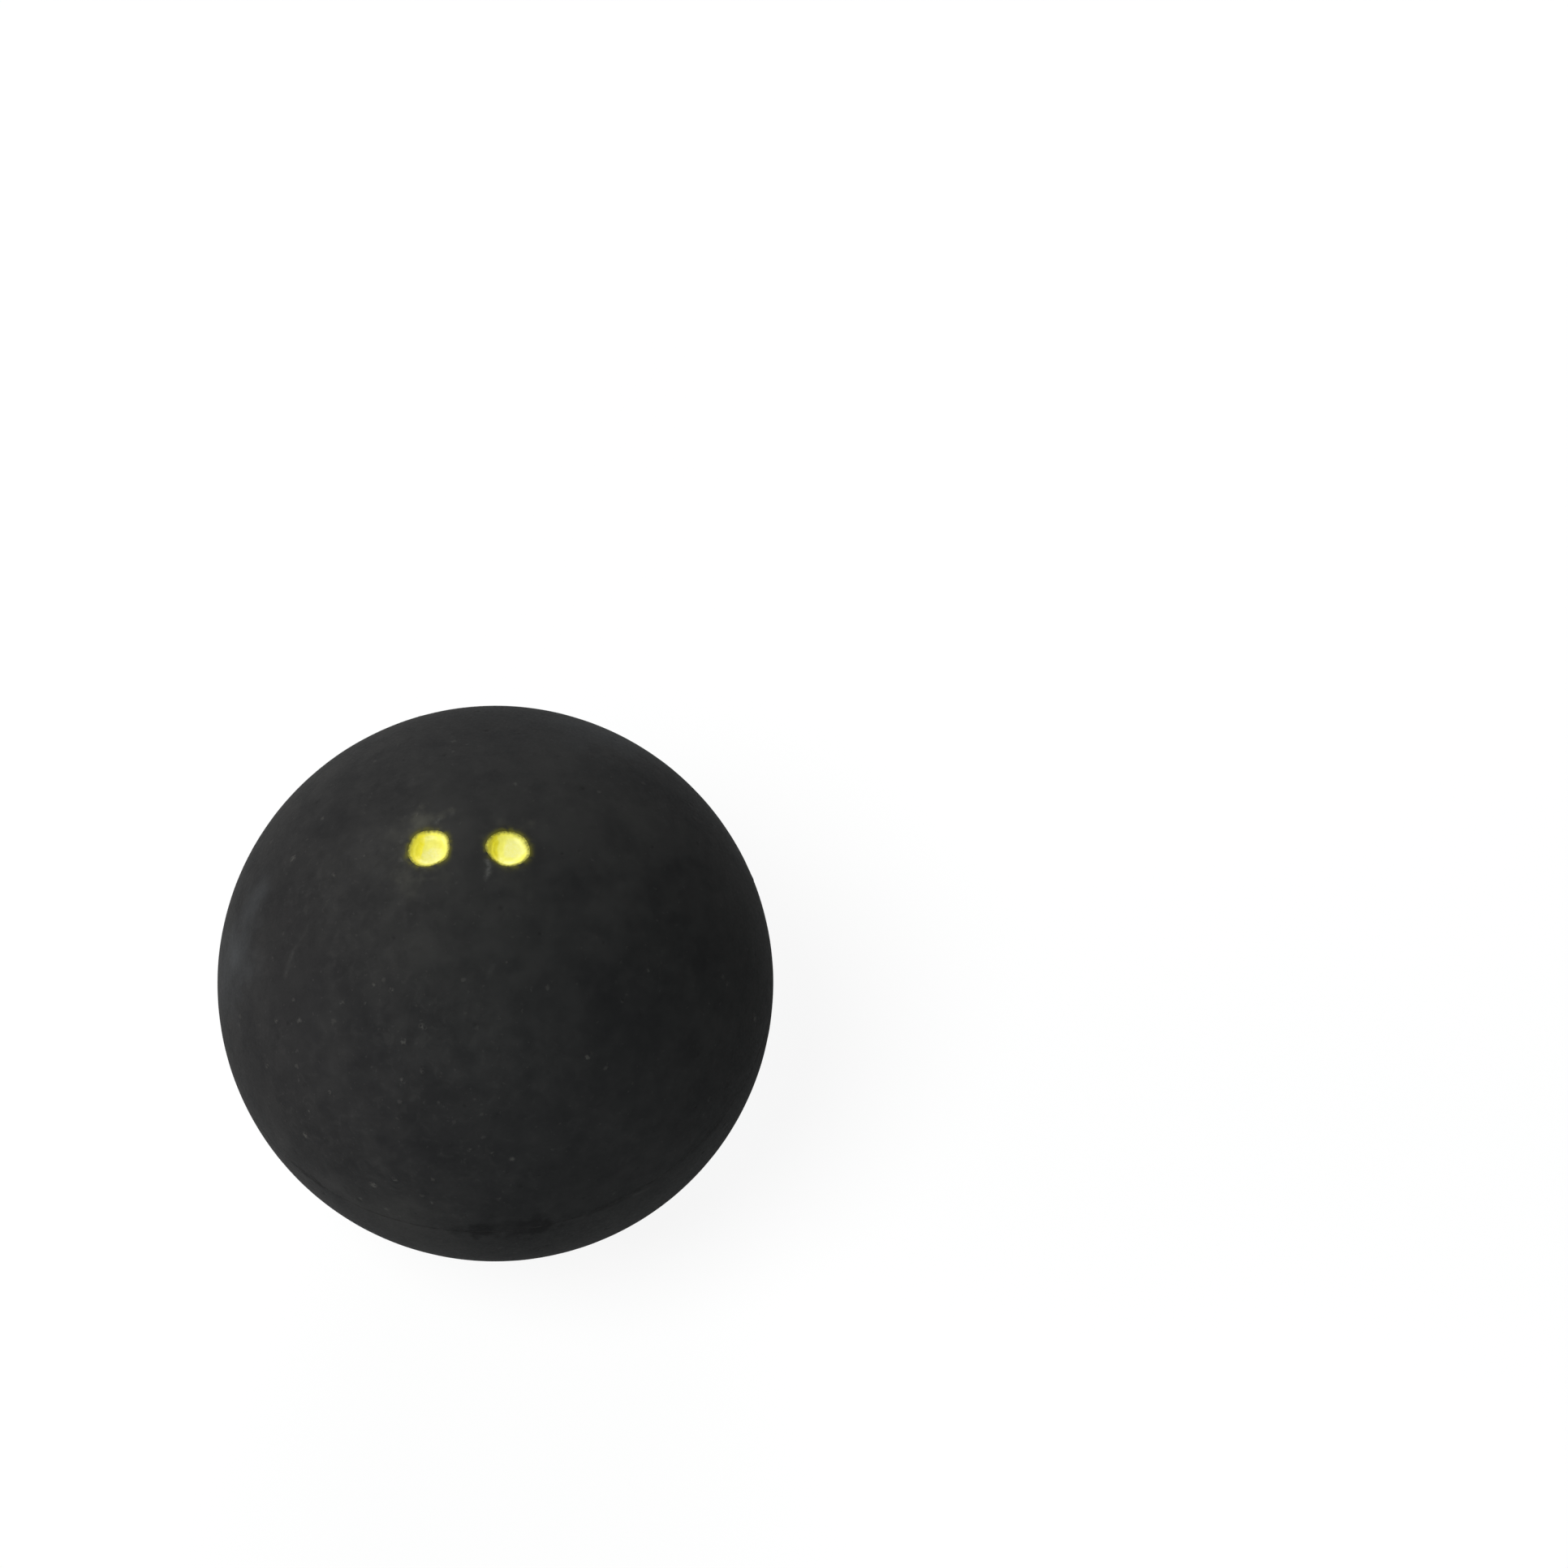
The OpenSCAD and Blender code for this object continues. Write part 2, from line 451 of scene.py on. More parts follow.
def well_radius(dot, dirs, r):
    """The surface's radius where a well cuts into it."""
    x, y, c = dot.local(dirs)
    for _ in range(6):  # the height along the axis depends on where the point ends up
        z = soft_min(well_z(dot, x * r, y * r), np.sqrt(np.maximum(BALL_R ** 2 - (x * r) ** 2 - (y * r) ** 2, 0)) + (r - BALL_R) * 0, 0.11)
        r = z / c
    return r


def near_surface(dot, x, y, marks):
    """The finished surface's height along a dot's axis at x, y."""
    z0 = np.sqrt(BALL_R ** 2 - x * x - y * y)
    dirs = unit(dot.to_ball(x, y, z0))
    lift = skin_height(dirs, marks)
    rho = np.hypot(x, y)
    lift = lift * smooth((rho - 1.3) / 0.4)
    return soft_min(well_z(dot, x, y), z0 + lift, 0.11)


# ------------------------------------------------------------ mesh building
def ring_points(theta, count, shift):
    a = (np.arange(count) + shift) / count * 2 * math.pi
    return np.stack([math.sin(theta) * np.cos(a), math.sin(theta) * np.sin(a), np.full(count, math.cos(theta))], 1)


def stitch(a, b):
    """Triangles between two closed rings, given as lists of point numbers that
    start at the same side. The first ring lies inside the second."""
    na, nb, i, j, out = len(a), len(b), 0, 0, []
    while i < na or j < nb:
        if j >= nb or (i < na and (i + 0.5) / na <= (j + 0.5) / nb):
            out.append((a[i % na], b[j % nb], a[(i + 1) % na]))
            i += 1
        else:
            out.append((a[i % na], b[j % nb], b[(j + 1) % nb]))
            j += 1
    return out


def add_piece(name, points, faces, material, smooth_faces=None):
    mesh = bpy.data.meshes.new(name)
    mesh.from_pydata((np.asarray(points) * MM).tolist(), [], faces)
    mesh.update()
    flags = np.ones(len(mesh.polygons), bool) if smooth_faces is None else np.asarray(smooth_faces, bool)
    mesh.polygons.foreach_set("use_smooth", flags)
    mesh.materials.append(material)
    if mesh.validate(verbose=False):
        raise RuntimeError(name + ": the mesh had faults")
    obj = bpy.data.objects.new(name, mesh)
    bpy.context.collection.objects.link(obj)
    return obj


def cluster(centre, radii, counts):
    """Rings of directions round a centre direction."""
    helper = np.array([0.0, 0.0, 1.0]) if abs(centre[2]) < 0.8 else np.array([1.0, 0.0, 0.0])
    e1 = unit(np.cross(helper, centre))
    e2 = np.cross(centre, e1)
    out = [centre[None, :]]
    for k, (r, n) in enumerate(zip(radii, counts)):
        a = (np.arange(n) + 0.5 * (k % 2)) / n * 2 * math.pi
        t = r / BALL_R
        out.append(math.cos(t) * centre + math.sin(t) * (np.cos(a)[:, None] * e1 + np.sin(a)[:, None] * e2))
    return np.concatenate(out)


def skin_directions(marks, upper):
    """Directions of the outer surface's points down to just above the seam,
    and the number of them in the last ring. Worked out for the upper half;
    the lower half is its mirror image."""
    edge_theta = math.acos(0.45 / BALL_R)
    rings = int(round(edge_theta * BALL_R / (STEP * 0.9)))
    edge_count = int(round(2 * math.pi * BALL_R / STEP))
    points = [np.array([[0.0, 0.0, 1.0]])]
    for k in range(1, rings):
        theta = edge_theta * k / rings
        count = max(6, int(round(2 * math.pi * BALL_R * math.sin(theta) / STEP)))
        points.append(ring_points(theta, count, (k * 0.381966) % 1.0))
    points = np.concatenate(points)
    flip = np.array([1, 1, 1 if upper else -1])
    keep = np.ones(len(points), bool)
    extra = []
    if upper:
        for dot in DOTS:
            keep &= points @ dot.axis < math.cos(2.86 / BALL_R)
            beside = [d for d in DOTS if d is not dot][0]
            around_dot = unit(dot_points(dot))
            extra.append(around_dot[around_dot @ dot.axis > around_dot @ beside.axis + 1e-5])
    for c, w in zip(marks.at * flip, marks.width):
        if c[2] * BALL_R < 0.45 + 3.0 * w:
            continue
        reach = 2.1 * w
        keep &= points @ c < math.cos((reach + 0.07) / BALL_R)
        extra.append(cluster(c, [0.35 * w, 0.75 * w, 1.2 * w, 1.7 * w, reach], [6, 9, 12, 12, 12]))
    points = np.concatenate([points[keep]] + extra)
    edge = ring_points(edge_theta, edge_count, 0.0)
    return np.concatenate([points, edge]), edge_count


def dot_points(dot):
    """Points on and round a dot's well, in rings that crowd at its edges."""
    radii = (
        list(np.arange(0.11, 0.86, 0.125))
        + list(np.arange(0.93, 1.27, 0.048))
        + list(np.arange(1.30, 1.70, 0.036))
        + [1.74, 1.80, 1.88, 1.98, 2.08, 2.18, 2.29, 2.40, 2.52, 2.65]
    )
    xy = [np.zeros((1, 2))]
    for k, r in enumerate(radii):
        gap = 0.12 if r < 0.9 else 0.075 if r < 1.75 else 0.075 + min(r - 1.75, 0.2) * 0.15 + max(r - 2.3, 0) * 0.1
        n = max(6, int(round(2 * math.pi * r / gap)))
        a = (np.arange(n) + 0.5 * (k % 2)) / n * 2 * math.pi
        xy.append(np.stack([r * np.cos(a), r * np.sin(a)], 1))
    xy = np.concatenate(xy)
    z = near_surface(dot, xy[:, 0], xy[:, 1], NO_MARKS)
    return dot.to_ball(xy[:, 0], xy[:, 1], z)


def triangulate(dirs):
    """Joins directions of the upper half into triangles that face outwards."""
    flat = dirs[:, :2] / (1 + dirs[:, 2:3])
    verts, _, faces, origin, _, _ = delaunay_2d_cdt([Vector(q) for q in flat.tolist()], [], [], 0, 1e-9, True)
    back = [o[0] for o in origin]
    if len(verts) != len(dirs):
        raise RuntimeError("two points of the skin fell together")
    return [(back[a], back[b], back[c]) for a, b, c in faces]


def build_half(name, upper, marks, material):
    """One half shell: its outer skin, its flat rim at the seam and its inner
    face, all in one closed mesh."""
    sign = 1 if upper else -1
    flip = np.array([1, 1, sign])
    dirs, n = skin_directions(marks, upper)
    faces = triangulate(dirs)
    skin = dirs * flip
    blocks = [skin * outer_radius(skin, marks, upper)[:, None]]
    ring = list(range(len(dirs) - n, len(dirs)))
    total = len(dirs)
    # narrow rings from the last one down to the seam
    for h in (0.33, 0.24, 0.175, 0.13, 0.1, 0.08, 0.066, CEMENT_T / 2):
        d = ring_points(math.acos(h / BALL_R), n, 0.0) * flip
        r = outer_radius(d, marks, upper)
        p = d * r[:, None]
        p[:, 2] = h * sign
        new = list(range(total, total + n))
        for k in range(n):
            m = (k + 1) % n
            faces.append((ring[k], new[k], new[m]))
            faces.append((ring[k], new[m], ring[m]))
        blocks.append(p)
        ring, total = new, total + n
    smooth_until = len(faces)
    # the flat rim, in to the air chamber
    for r, count in ((19.7, n // 2), (19.0, n // 4), (17.6, n // 5), (16.2, n // 6), (math.sqrt(CHAMBER_R ** 2 - (CEMENT_T / 2) ** 2), n // 7)):
        a = np.arange(count) / count * 2 * math.pi
        blocks.append(np.stack([r * np.cos(a), r * np.sin(a), np.full(count, CEMENT_T / 2 * sign)], 1))
        new = list(range(total, total + count))
        faces += [(t[0], t[1], t[2]) for t in stitch(ring, new)]
        ring, total = new, total + count
    rim_until = len(faces)
    # the inner face, up to its pole
    rows = 26
    start = math.acos(CEMENT_T / 2 / CHAMBER_R)
    for k in range(1, rows + 1):
        theta = start * (1 - k / rows)
        count = 1 if k == rows else max(6, int(round(len(ring) if k == 1 else 2 * math.pi * CHAMBER_R * math.sin(theta) / 0.85)))
        d = ring_points(theta, count, 0.0) * flip
        wobble = 0.02 * SHAPE.at(d * CHAMBER_R + 90, 3.0) * smooth((np.abs(d[:, 2]) * CHAMBER_R - 0.8) / 1.5)
        blocks.append(d * (CHAMBER_R + wobble)[:, None])
        new = list(range(total, total + count))
        if count == 1:
            faces += [(ring[i], new[0], ring[(i + 1) % len(ring)]) for i in range(len(ring))]
        else:
            faces += stitch(ring, new)
        ring, total = new, total + count
    if not upper:
        faces = [(a, c, b) for a, b, c in faces]
    flags = np.ones(len(faces), bool)
    flags[smooth_until:rim_until] = False
    points = np.concatenate(blocks)
    obj = add_piece(name, points, faces, material, flags)
    outside = np.linalg.norm(points, axis=1) > 19
    for key, values in (
        ("dust", dust_at(points)),
        ("bloom_and_highlight", spots(points, BLOOM_AND_HIGHLIGHT)),
        ("rubbed_and_lit", spots(points, RUBBED_AND_LIT)),
        ("clean_and_shaded", spots(points, CLEAN_AND_SHADED)),
        ("stain", stain_at(points)),
        ("haze", haze_at(points)),
        ("scuff", scuff_at(points)),
        ("tint", tint_at(points)),
        ("crumb_and_pit_shade", mark_sum(unit(points), marks, "tone")),
    ):
        add_values(obj, key, values * outside)
    return obj


def add_values(obj, key, values):
    """One number for each point of the mesh, for its material to read."""
    obj.data.attributes.new(key, "FLOAT", "POINT").data.foreach_set("value", np.asarray(values, dtype=np.float32))


def build_cement(name, material):
    """The bond between the halves: a thin ring, with its bead inside."""
    count = 720
    a = np.arange(count) / count * 2 * math.pi
    around = np.stack([np.cos(a), np.sin(a), np.zeros(count)], 1) * BALL_R
    h = CEMENT_T / 2
    bead = BEAD_R * (0.93 + 0.16 * EDGE.layers(around + 20, 3.0, 3))
    rim = BALL_R - seam_dip(np.full(count, h), around) + skin_height(unit(around), NO_MARKS)
    bulge = 0.002 + 0.006 * EDGE.at(around + 70, 1.4)
    rows = []
    for t in (-1.0, -0.6, -0.2, 0.2, 0.6, 1.0):  # the outer edge, flush with the skin's own edge
        rows.append((rim - 0.004 + bulge * (1 - t * t), np.full(count, h * t)))
    for r in (19.0, 17.5, 16.0):
        rows.append((np.full(count, r), np.full(count, h)))
    root = math.sqrt(CHAMBER_R ** 2 - h * h)
    rows.append((np.full(count, root), np.full(count, h)))
    top = np.arcsin(np.clip(bead / 2 / CHAMBER_R, 0, 1)) * 2  # where the bead leaves the chamber's wall
    for f in (0.35, 0.7, 1.0):
        t = (h / CHAMBER_R) * (1 - f) + top * f
        rows.append((CHAMBER_R * np.cos(t), CHAMBER_R * np.sin(t)))
    for g in (0.2, 0.4, 0.6, 0.8, 1.0, 1.2, 1.4, 1.6, 1.8):
        t = math.pi / 2 * g
        lean = np.sin(top) * CHAMBER_R
        rows.append((CHAMBER_R * np.cos(top) - bead * math.sin(t) * (1 - 0.15 * math.cos(t) ** 2), lean * math.cos(t)))
    for f in (1.0, 0.7, 0.35):
        t = (h / CHAMBER_R) * (1 - f) + top * f
        rows.append((CHAMBER_R * np.cos(t), -CHAMBER_R * np.sin(t)))
    rows.append((np.full(count, root), np.full(count, -h)))
    for r in (16.0, 17.5, 19.0):
        rows.append((np.full(count, r), np.full(count, -h)))
    points = np.concatenate([np.stack([r * np.cos(a), r * np.sin(a), z], 1) for r, z in rows])
    faces = []
    for k in range(len(rows)):
        m = (k + 1) % len(rows)
        for i in range(count):
            j = (i + 1) % count
            faces.append((k * count + i, k * count + j, m * count + j, m * count + i))
    return add_piece(name, points, faces, material)


def film_thickness(dot, x, y, edge):
    """Height of the paint over the well's surface, along the dot's axis, mm."""
    rho, phi = np.hypot(x, y), np.arctan2(y, x)
    p = np.stack([x, y, np.full_like(x, dot.seed * 4.4)], 1)
    # the paint has run a little towards one side of the well and pooled there
    side = 1 + 0.5 * np.cos(phi - math.radians(dot.pooled_shaded_side))
    pool = 0.06 * side * np.exp(-(((rho - 1.02) / 0.17) ** 2))
    body = 0.05 + 0.018 * FILM.layers(p, 0.8, 3, 0.6)
    wall = 0.03 * smooth((rho - 1.1) / 0.2) * (1 - smooth((rho - 1.38) / 0.12))
    taper = smooth((edge - rho) / 0.2)
    return 0.016 + (body + pool + wall) * taper + 0.006 * smooth((edge - rho) / 0.05) * smooth((rho - edge + 0.2) / 0.08)


def film_tone(dot, x, y, edge):
    """Where the paint is coloured deeper yellow as painted shade, where it is worn thin, and where it is coloured paler
    as a painted highlight.
    """
    rho, phi = np.hypot(x, y), np.arctan2(y, x)
    p = np.stack([x, y, np.full_like(x, dot.seed * 4.4 + 9)], 1)
    towards = rho * np.cos(phi - math.radians(dot.pooled_shaded_side))
    # painted shade: deeper yellow towards the well's shaded side
    painted_shade = smooth((towards - dot.shade_from + 0.10 * FILM.at(p, 0.5)) / 0.15) * (1 - 0.3 * smooth((towards - dot.shade_from - 0.35) / 0.35))
    # painted shade on the well's wall too, strongest on that side
    rim = smooth((rho - 1.02) / 0.25) * (0.32 + 0.28 * np.cos(phi - math.radians(dot.pooled_shaded_side)))
    off = np.hypot(x - dot.highlight_centre[0], y - dot.highlight_centre[1])
    # painted highlight: paler, whiter paint round a place on the well's lit part
    painted_highlight = smooth((0.95 + 0.25 * FILM.at(p + 7, 0.6) - off) / 0.45) * (1 - painted_shade)
    painted_shade = 0.9 * np.maximum(painted_shade, rim) + 0.1 * smooth(0.4 + FILM.layers(p + 5, 0.6, 3, 0.6))
    # the paint thins out more slowly on the side that it ran from
    fade = 0.22 + 0.12 * np.maximum(-np.cos(phi - math.radians(dot.pooled_shaded_side)), 0)
    worn = 1 - smooth((edge - rho - 0.04 - 0.05 * FILM.at(p + 3, 0.22)) / fade)
    return np.clip(painted_shade, 0, 1), np.clip(worn, 0, 1), np.clip(painted_highlight, 0, 1)


def build_paint(name, dot, material):
    """A dot's paint: a thin closed film with a ragged edge, lining its well."""
    count, fractions = 240, list(np.linspace(0.04, 0.62, 12)) + list(np.linspace(0.64, 0.86, 10)) + list(np.linspace(0.875, 0.985, 9)) + [0.995, 1.0]
    phi = np.arange(count) / count * 2 * math.pi
    edge = dot.paint_edge(phi)
    top, under, tones = [], [], []
    for f in fractions:
        x, y = edge * f * np.cos(phi), edge * f * np.sin(phi)
        z = near_surface(dot, x, y, NO_MARKS)
        t = film_thickness(dot, x, y, edge)
        if f == 1.0:
            t = t * 0.35
        top.append(dot.to_ball(x, y, z + t))
        under.append(dot.to_ball(x, y, z - 0.003))
        tones.append(film_tone(dot, x, y, edge))
    zero = np.zeros(1)
    z = near_surface(dot, zero, zero, NO_MARKS)
    t = film_thickness(dot, zero, zero, np.array([1.5]))
    points = [dot.to_ball(zero, zero, z + t)] + top + [dot.to_ball(zero, zero, z - 0.003)] + under
    rows = len(fractions)
    first_top, low_pole = 1, 1 + rows * count
    first_low = low_pole + 1
    faces = []
    for i in range(count):
        j = (i + 1) % count
        faces.append((0, first_top + i, first_top + j))
        faces.append((low_pole, first_low + j, first_low + i))
        for k in range(rows - 1):
            a, b = first_top + k * count, first_top + (k + 1) * count
            faces.append((a + i, b + i, b + j, a + j))
            a, b = first_low + k * count, first_low + (k + 1) * count
            faces.append((a + i, a + j, b + j, b + i))
        a, b = first_top + (rows - 1) * count, first_low + (rows - 1) * count
        faces.append((a + i, b + i, b + j, a + j))
    obj = add_piece(name, np.concatenate(points), faces, material)
    tones = [film_tone(dot, zero, zero, np.array([1.5]))] + tones
    for k, key in enumerate(("painted_shade", "worn", "painted_highlight")):
        add_values(obj, key, np.concatenate(2 * [t[k] for t in tones]))
    return obj


class NoMarks:
    at, width, height, tone = np.zeros((0, 3)), np.zeros(0), np.zeros(0), np.zeros(0)


NO_MARKS = NoMarks()


# --------------------------------------------------------------- materials
class Nodes:
    """Short ways to add and join a material's nodes."""

    def __init__(self, name):
        self.material = bpy.data.materials.new(name)
        self.material.use_nodes = True
        self.tree = self.material.node_tree
        self.tree.nodes.clear()
        self.shader = self.add("ShaderNodeBsdfPrincipled")
        out = self.add("ShaderNodeOutputMaterial")
        self.join(self.shader.outputs["BSDF"], out.inputs["Surface"])
        coords = self.add("ShaderNodeTexCoord")
        scale = self.add("ShaderNodeVectorMath", operation="SCALE")
        self.join(coords.outputs["Object"], scale.inputs[0])
        scale.inputs["Scale"].default_value = 1000.0
        self.place = scale.outputs[0]  # in millimetres

    def add(self, kind, **values):
        node = self.tree.nodes.new(kind)
        for key, value in values.items():
            setattr(node, key, value)
        return node

    def join(self, a, b):
        self.tree.links.new(a, b)

    def put(self, socket, value):
        if hasattr(value, "is_output"):
            self.join(value, socket)
        else:
            socket.default_value = value

    def value(self, key):
        """A number stored on the mesh's points."""
        return self.add("ShaderNodeAttribute", attribute_name=key, attribute_type="GEOMETRY").outputs["Fac"]

    def warped(self, amount_mm, per_mm):
        """The place, pushed about by noise, so that what is drawn there isn't round."""
        node = self.add("ShaderNodeTexNoise", noise_dimensions="3D")
        self.join(self.place, node.inputs["Vector"])
        node.inputs["Scale"].default_value = per_mm
        node.inputs["Detail"].default_value = 1.0
        centre = self.add("ShaderNodeVectorMath", operation="SUBTRACT")
        self.join(node.outputs["Color"], centre.inputs[0])
        centre.inputs[1].default_value = (0.5, 0.5, 0.5)
        scale = self.add("ShaderNodeVectorMath", operation="SCALE")
        self.join(centre.outputs[0], scale.inputs[0])
        scale.inputs["Scale"].default_value = amount_mm * 4
        total = self.add("ShaderNodeVectorMath", operation="ADD")
        self.join(self.place, total.inputs[0])
        self.join(scale.outputs[0], total.inputs[1])
        return total.outputs[0]

    def noise(self, per_mm, detail=2.0, rough=0.5, shift=0.0, distortion=0.0):
        place = self.place
        if shift:
            move = self.add("ShaderNodeVectorMath", operation="ADD")
            self.join(place, move.inputs[0])
            move.inputs[1].default_value = (shift, shift * 0.7, -shift)
            place = move.outputs[0]
        node = self.add("ShaderNodeTexNoise", noise_dimensions="3D")
        self.join(place, node.inputs["Vector"])
        node.inputs["Scale"].default_value = per_mm
        node.inputs["Detail"].default_value = detail
        node.inputs["Roughness"].default_value = rough
        node.inputs["Distortion"].default_value = distortion
        return node.outputs["Fac"]

    def cells(self, per_mm, shift=0.0, place=None):
        """Scattered points: the distance to the nearest one in units of their
        spacing, and two numbers of its own."""
        place = self.place if place is None else place
        if shift:
            move = self.add("ShaderNodeVectorMath", operation="ADD")
            self.join(place, move.inputs[0])
            move.inputs[1].default_value = (shift, -shift, shift * 0.6)
            place = move.outputs[0]
        node = self.add("ShaderNodeTexVoronoi", voronoi_dimensions="3D", feature="F1")
        self.join(place, node.inputs["Vector"])
        node.inputs["Scale"].default_value = per_mm
        split = self.add("ShaderNodeSeparateColor")
        self.join(node.outputs["Color"], split.inputs[0])
        return node.outputs["Distance"], split.outputs[0], split.outputs[1]

    def math(self, operation, a, b=None, clamp=False):
        node = self.add("ShaderNodeMath", operation=operation)
        node.use_clamp = clamp
        self.put(node.inputs[0], a)
        if b is not None:
            self.put(node.inputs[1], b)
        return node.outputs[0]

    def remap(self, value, lo, hi, to_lo=0.0, to_hi=1.0, soft=True):
        node = self.add("ShaderNodeMapRange", interpolation_type="SMOOTHSTEP" if soft else "LINEAR")
        node.clamp = True
        for key, v in zip(("From Min", "From Max", "To Min", "To Max"), (lo, hi, to_lo, to_hi)):
            self.put(node.inputs[key], v)
        self.put(node.inputs["Value"], value)
        return node.outputs["Result"]

    def mix(self, factor, a, b):
        node = self.add("ShaderNodeMix", data_type="RGBA", blend_type="MIX")
        self.put(node.inputs["Factor"], factor)
        self.put(node.inputs[6], a)
        self.put(node.inputs[7], b)
        return node.outputs[2]

    def bump(self, height, distance_mm, strength=1.0, normal=None):
        node = self.add("ShaderNodeBump")
        node.inputs["Strength"].default_value = strength
        node.inputs["Distance"].default_value = distance_mm * MM
        self.put(node.inputs["Height"], height)
        if normal is not None:
            self.join(normal, node.inputs["Normal"])
        return node.outputs["Normal"]


def rubber_material(name, seed):
    m = Nodes(name)
    dust, crumb_and_pit_shade = m.value("dust"), m.value("crumb_and_pit_shade")
    broad = m.noise(0.085, 2.0, 0.5, seed)
    patch = m.noise(0.30, 2.0, 0.5, seed + 3, 0.4)
    clumps = m.noise(0.8, 1.5, 0.5, seed + 31, 0.3)
    grain = m.noise(4.6, 2.0, 0.5, seed + 5)
    tone = m.math("ADD", m.remap(broad, 0.3, 0.7, 0.0, 0.30), m.remap(patch, 0.32, 0.68, 0.0, 0.42))
    tone = m.math("ADD", tone, m.remap(clumps, 0.32, 0.68, 0.015, 0.215))
    tone = m.math("ADD", tone, m.remap(grain, 0.25, 0.75, 0.0, 0.07), True)
    colour = m.mix(tone, (0.0103, 0.0105, 0.0110, 1), (0.0235, 0.0233, 0.0232, 1))
    # rubbed paler by handling, and painted reflection beside the seam at the front
    worn = m.math("MULTIPLY", m.value("rubbed_and_lit"), m.remap(patch, 0.25, 0.7, 0.75, 1.0))
    colour = m.mix(m.math("MULTIPLY", worn, 0.55), colour, (0.0345, 0.0340, 0.0325, 1))
    # darker places: cleaner rubber, and painted shade on the left side inside the edge
    colour = m.mix(m.math("MULTIPLY", m.value("clean_and_shaded"), 0.75), colour, (0.0105, 0.0106, 0.0110, 1))
    # bloom: the rubber's wax, come to the surface; on the left flank, painted highlight, a bluish paler patch
    bloom_highlight_mask = m.math("MULTIPLY", m.value("bloom_and_highlight"), m.remap(patch, 0.25, 0.7, 0.6, 1.0))
    colour = m.mix(m.math("MULTIPLY", bloom_highlight_mask, 0.72), colour, (0.037, 0.040, 0.043, 1))
    # haze wiped round the dots
    film = m.math("MULTIPLY", m.value("haze"), m.remap(clumps, 0.3, 0.65, 0.45, 1.0))
    colour = m.mix(m.math("MULTIPLY", film, 0.72), colour, (0.061, 0.060, 0.049, 1))
    # paint wiped thin beside the dots
    colour = m.mix(m.math("MULTIPLY", m.value("tint"), 0.88), colour, (0.105, 0.098, 0.012, 1))
    # dust caught in the matte skin: a lace of paler and darker clumps, fine
    # grains and a few crumbs, all thickest where the skin is dusty
    lace = m.noise(1.25, 4.0, 0.56, seed + 47, 0.6)
    strong = m.remap(dust, 0.15, 0.85, 0.05, 0.90, False)
    colour = m.mix(m.math("MULTIPLY", m.remap(lace, 0.50, 0.70, 0.0, 0.26), strong), colour, (0.036, 0.0355, 0.034, 1))
    colour = m.mix(m.math("MULTIPLY", m.remap(lace, 0.49, 0.32, 0.0, 0.26), strong), colour, (0.0070, 0.0070, 0.0072, 1))
    rough_place = m.warped(0.10, 3.0)
    far, pick, size = m.cells(3.0, seed + 9, rough_place)
    chosen = m.remap(m.math("ADD", pick, m.math("MULTIPLY", dust, 0.24)), 0.96, 1.02)
    grains = m.math("MULTIPLY", m.remap(far, 0.12, 0.36, 1.0, 0.0), chosen)
    colour = m.mix(m.math("MULTIPLY", grains, m.remap(size, 0.0, 1.0, 0.07, 0.22, False)), colour, (0.055, 0.054, 0.050, 1))
    far, pick, size = m.cells(1.05, seed + 17, rough_place)
    chosen = m.remap(m.math("ADD", pick, m.math("MULTIPLY", dust, 0.13)), 0.965, 1.0)
    specks = m.math("MULTIPLY", m.remap(far, m.remap(size, 0.0, 1.0, 0.07, 0.15, False), 0.26, 1.0, 0.0), chosen)
    colour = m.mix(m.math("MULTIPLY", specks, m.remap(size, 0.0, 1.0, 0.26, 0.12, False)), colour, (0.075, 0.073, 0.067, 1))
    # pits and nibs that are in the mesh, the nibs crusted with pale dust and the pits darkened with painted shade
    ragged = m.remap(m.noise(4.2, 3.0, 0.6, seed + 53), 0.36, 0.62, 0.25, 1.7)
    pale = m.remap(m.math("MULTIPLY", m.math("MAXIMUM", crumb_and_pit_shade, 0.0), ragged), 0.10, 0.85)
    colour = m.mix(m.math("MULTIPLY", pale, 0.36), colour, (0.085, 0.083, 0.076, 1))
    # painted shade: the pits are coloured darker
    painted_shade = m.math("MULTIPLY", m.math("MINIMUM", crumb_and_pit_shade, 0.0), -0.45, True)
    colour = m.mix(painted_shade, colour, (0.0055, 0.0055, 0.0055, 1))
    # pale scuffs
    scrape = m.math("MULTIPLY", m.value("scuff"), m.remap(grain, 0.3, 0.62, 0.5, 1.0))
    colour = m.mix(m.math("MULTIPLY", scrape, 0.72), colour, (0.074, 0.074, 0.070, 1))
